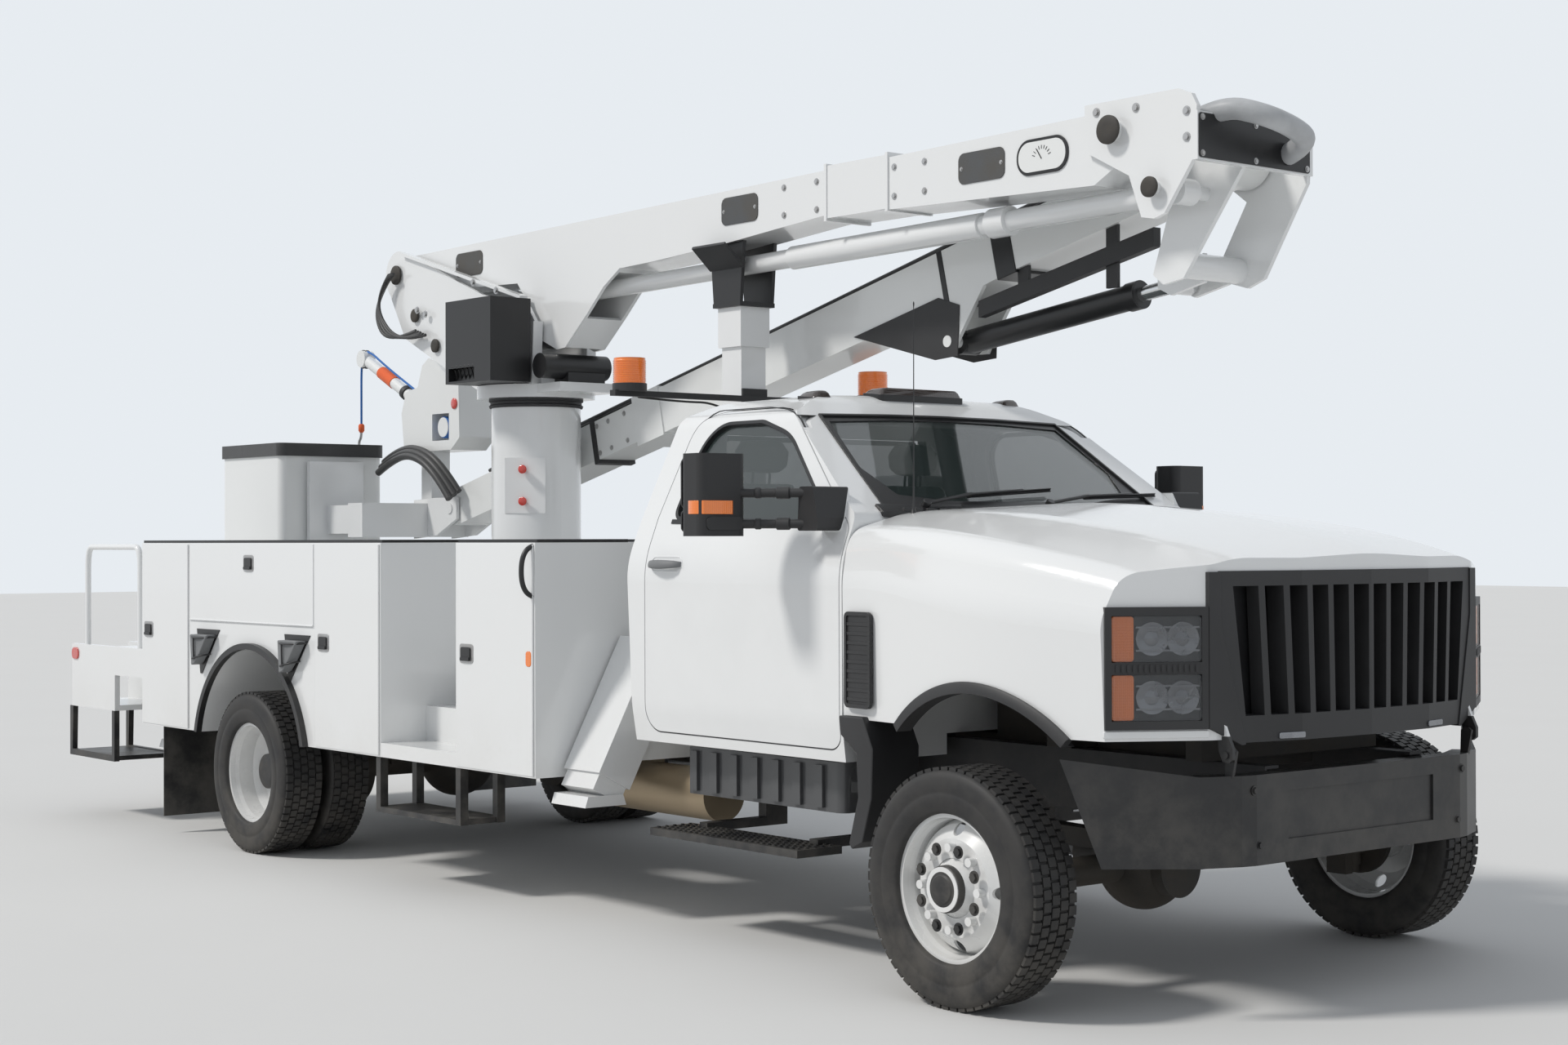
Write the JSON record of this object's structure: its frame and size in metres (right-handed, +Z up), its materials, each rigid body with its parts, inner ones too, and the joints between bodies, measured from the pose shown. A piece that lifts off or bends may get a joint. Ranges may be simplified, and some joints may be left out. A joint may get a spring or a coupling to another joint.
{
  "type": "cherry picker truck",
  "caption": "Bonneted utility truck with a steel service body, outriggers and an articulated aerial lift with bucket, jib and winch",
  "frame": {"origin": "on the ground under the middle of the truck's overall length and width", "axes": "+X forward, +Y to the truck's left, +Z up"},
  "size_m": [8.238, 2.8, 3.1939],
  "materials": {
    "white_body": "gloss white paint",
    "white_fibreglass": "gloss white gel coat",
    "black_steel": "satin black paint",
    "black_plastic": "grained black plastic",
    "black_cover": "coated black fabric",
    "grey_trim": "grey plastic",
    "dark_steel": "dark chassis paint",
    "engine_iron": "plain casting",
    "bright_steel": "chromed rod",
    "tyre_rubber": "black rubber",
    "amber_lens": "amber lens",
    "lamp": "clear lamp",
    "underside_metal": "grey and bronze"
  },
  "bodies": {
    "chassis": {"frame": "dark_steel", "engine": "engine_iron", "underside": "underside_metal", "front_axle": "dark_steel", "rear_axle": "dark_steel", "bumper": "black_steel", "cab_shell": "white_body", "cab_interior": "grey_trim", "beacons": "amber_lens", "body_right": "white_body", "body_left": "white_body", "cargo_bed": "white_body", "body_trim": "black_plastic", "steps": "black_steel", "boom_supports": "white_body", "rest_saddle": "black_steel", "turntable": "white_body", "turret_gear": "black_steel"},
    "hood_body": {"hood": "white_body", "grille": "black_plastic", "headlamps": "lamp"},
    "knuckle_right_body": {"knuckle_right": "dark_steel"},
    "front_wheel_right_body": {"front_wheel_right": "white_body", "front_tyre_right": "tyre_rubber"},
    "rear_wheels_right_body": {"rear_wheels_right": "white_body", "rear_tyres_right": "tyre_rubber"},
    "door_right_body": {"door_right": "white_body"},
    "knuckle_left_body": {"knuckle_left": "dark_steel"},
    "front_wheel_left_body": {"front_wheel_left": "white_body", "front_tyre_left": "tyre_rubber"},
    "rear_wheels_left_body": {"rear_wheels_left": "white_body", "rear_tyres_left": "tyre_rubber"},
    "door_left_body": {"door_left": "white_body"},
    "bay_door_rear_right_body": {"bay_door_rear_right": "white_body"},
    "bay_door_over_wheel_right_body": {"bay_door_over_wheel_right": "white_body"},
    "bay_door_middle_right_body": {"bay_door_middle_right": "white_body"},
    "bay_door_front_right_body": {"bay_door_front_right": "white_body"},
    "bay_door_rear_left_body": {"bay_door_rear_left": "white_body"},
    "bay_door_over_wheel_left_body": {"bay_door_over_wheel_left": "white_body"},
    "bay_door_middle_left_body": {"bay_door_middle_left": "white_body"},
    "bay_door_front_left_body": {"bay_door_front_left": "white_body"},
    "outrigger_front_right_body": {"outrigger_front_right": "white_body"},
    "outrigger_front_left_body": {"outrigger_front_left": "white_body"},
    "outrigger_rear_right_body": {"outrigger_rear_right": "white_body"},
    "outrigger_rear_left_body": {"outrigger_rear_left": "white_body"},
    "lower_boom_body": {"lower_boom": "white_body"},
    "level_link_body": {"level_link": "white_body"},
    "lift_ram_body": {"lift_ram": "black_steel"},
    "lift_rod_body": {"lift_rod": "bright_steel"},
    "elbow_body": {"elbow": "white_body"},
    "upper_boom_body": {"upper_boom": "white_fibreglass", "hose_tray": "black_plastic"},
    "upper_ram_body": {"upper_ram": "white_body"},
    "upper_rod_body": {"upper_rod": "bright_steel"},
    "bucket_body": {"bucket_mount": "white_body", "bucket": "white_fibreglass", "bucket_cover": "black_cover", "winch": "white_fibreglass"},
    "jib_body": {"jib": "white_fibreglass"}
  },
  "joints": [
    {"name": "steer_right", "type": "hinge", "parent": "chassis", "child": "knuckle_right_body", "pos_m": [3.311, -0.95, 0.4055], "axis": [0, 0, 1], "range_deg": [-30, 30]},
    {"name": "front_spin_right", "type": "hinge", "parent": "knuckle_right_body", "child": "front_wheel_right_body", "pos_m": [3.311, -1.115, 0.4055], "axis": [0, 1, 0], "continuous": true},
    {"name": "rear_spin_right", "type": "hinge", "parent": "chassis", "child": "rear_wheels_right_body", "pos_m": [-1.792, -1.115, 0.4055], "axis": [0, 1, 0], "continuous": true},
    {"name": "open_door_right", "type": "hinge", "parent": "chassis", "child": "door_right_body", "pos_m": [2.526, -1, 1.2], "axis": [0, 0, 1], "range_deg": [0, 70]},
    {"name": "steer_left", "type": "hinge", "parent": "chassis", "child": "knuckle_left_body", "pos_m": [3.311, 0.95, 0.4055], "axis": [0, 0, 1], "range_deg": [-30, 30]},
    {"name": "front_spin_left", "type": "hinge", "parent": "knuckle_left_body", "child": "front_wheel_left_body", "pos_m": [3.311, 1.115, 0.4055], "axis": [0, 1, 0], "continuous": true},
    {"name": "rear_spin_left", "type": "hinge", "parent": "chassis", "child": "rear_wheels_left_body", "pos_m": [-1.792, 1.115, 0.4055], "axis": [0, 1, 0], "continuous": true},
    {"name": "open_door_left", "type": "hinge", "parent": "chassis", "child": "door_left_body", "pos_m": [2.526, 1, 1.2], "axis": [0, 0, -1], "range_deg": [0, 70]},
    {"name": "tilt_hood", "type": "hinge", "parent": "chassis", "child": "hood_body", "pos_m": [4.051, 0, 0.87], "axis": [0, 1, 0], "range_deg": [0, 75]},
    {"name": "open_bay_door_rear_right", "type": "hinge", "parent": "chassis", "child": "bay_door_rear_right_body", "pos_m": [-2.514, -1.204, 1.0675], "axis": [0, 0, 1], "range_deg": [0, 90]},
    {"name": "open_bay_door_over_wheel_right", "type": "hinge", "parent": "chassis", "child": "bay_door_over_wheel_right_body", "pos_m": [-1.814, -1.204, 1.158], "axis": [1, 0, 0], "range_deg": [0, 90]},
    {"name": "open_bay_door_middle_right", "type": "hinge", "parent": "chassis", "child": "bay_door_middle_right_body", "pos_m": [-0.499, -1.204, 1.0675], "axis": [0, 0, 1], "range_deg": [0, 90]},
    {"name": "open_bay_door_front_right", "type": "hinge", "parent": "chassis", "child": "bay_door_front_right_body", "pos_m": [0.791, -1.204, 1.0675], "axis": [0, 0, 1], "range_deg": [0, 90]},
    {"name": "open_bay_door_rear_left", "type": "hinge", "parent": "chassis", "child": "bay_door_rear_left_body", "pos_m": [-2.514, 1.204, 1.0675], "axis": [0, 0, -1], "range_deg": [0, 90]},
    {"name": "open_bay_door_over_wheel_left", "type": "hinge", "parent": "chassis", "child": "bay_door_over_wheel_left_body", "pos_m": [-1.814, 1.204, 1.158], "axis": [-1, 0, 0], "range_deg": [0, 90]},
    {"name": "open_bay_door_middle_left", "type": "hinge", "parent": "chassis", "child": "bay_door_middle_left_body", "pos_m": [-0.1715, 1.204, 1.0675], "axis": [0, 0, -1], "range_deg": [0, 90]},
    {"name": "open_bay_door_front_left", "type": "hinge", "parent": "chassis", "child": "bay_door_front_left_body", "pos_m": [0.791, 1.204, 1.0675], "axis": [0, 0, -1], "range_deg": [0, 90]},
    {"name": "lower_outrigger_front_right", "type": "slide", "parent": "chassis", "child": "outrigger_front_right_body", "axis": [0, -0.4695, -0.8829], "range_m": [0, 0.5]},
    {"name": "lower_outrigger_front_left", "type": "slide", "parent": "chassis", "child": "outrigger_front_left_body", "axis": [0, 0.4695, -0.8829], "range_m": [0, 0.5]},
    {"name": "lower_outrigger_rear_right", "type": "slide", "parent": "chassis", "child": "outrigger_rear_right_body", "axis": [0, -0.4695, -0.8829], "range_m": [0, 0.42]},
    {"name": "lower_outrigger_rear_left", "type": "slide", "parent": "chassis", "child": "outrigger_rear_left_body", "axis": [0, 0.4695, -0.8829], "range_m": [0, 0.42]},
    {"name": "raise_lower_boom", "type": "hinge", "parent": "chassis", "child": "lower_boom_body", "pos_m": [-2.119, 0, 3.01], "axis": [0, -1, 0], "range_deg": [0, 80]},
    {"name": "swing_level_link", "type": "hinge", "parent": "chassis", "child": "level_link_body", "pos_m": [-1.919, 0, 2.775], "axis": [0, -1, 0], "range_deg": [0, 80]},
    {"name": "swing_lift_ram", "type": "hinge", "parent": "chassis", "child": "lift_ram_body", "pos_m": [-1.709, 0, 2.6], "axis": [0, -1, 0], "range_deg": [0, 82.14]},
    {"name": "extend_lift_rod", "type": "slide", "parent": "lift_ram_body", "child": "lift_rod_body", "axis": [1, 0, 0], "range_m": [0, 0.7438]},
    {"name": "level_elbow", "type": "hinge", "parent": "lower_boom_body", "child": "elbow_body", "pos_m": [3.091, 0, 3.08], "axis": [0, -1, 0], "range_deg": [-80, 0]},
    {"name": "unfold_upper_boom", "type": "hinge", "parent": "elbow_body", "child": "upper_boom_body", "pos_m": [3.201, 0.365, 3.03], "axis": [0, 1, 0], "range_deg": [0, 110]},
    {"name": "swing_upper_ram", "type": "hinge", "parent": "upper_boom_body", "child": "upper_ram_body", "pos_m": [1.771, 0.365, 2.41], "axis": [0, -1, 0], "range_deg": [0, 8.85]},
    {"name": "extend_upper_rod", "type": "slide", "parent": "upper_ram_body", "child": "upper_rod_body", "axis": [0.9922, 0, 0.1245], "range_m": [0, 0.8264]},
    {"name": "level_bucket", "type": "hinge", "parent": "upper_boom_body", "child": "bucket_body", "pos_m": [-2.249, 0.365, 1.75], "axis": [0, 1, 0], "range_deg": [-110, 0]},
    {"name": "tilt_jib", "type": "hinge", "parent": "bucket_body", "child": "jib_body", "pos_m": [-2.779, 0.33, 2.378], "axis": [0, 1, 0], "range_deg": [-30, 50]}
  ],
  "couplings": [
    {"joint": "steer_left", "follows": "steer_right", "ratio": 1},
    {"joint": "swing_level_link", "follows": "raise_lower_boom", "ratio": 1},
    {"joint": "swing_lift_ram", "follows": "raise_lower_boom", "ratio": 1.0267},
    {"joint": "extend_lift_rod", "follows": "raise_lower_boom", "m_per_rad": 0.5327},
    {"joint": "level_elbow", "follows": "raise_lower_boom", "ratio": -1},
    {"joint": "swing_upper_ram", "follows": "unfold_upper_boom", "ratio": 0.080459},
    {"joint": "extend_upper_rod", "follows": "unfold_upper_boom", "m_per_rad": 0.43043},
    {"joint": "level_bucket", "follows": "unfold_upper_boom", "ratio": -1}
  ]
}
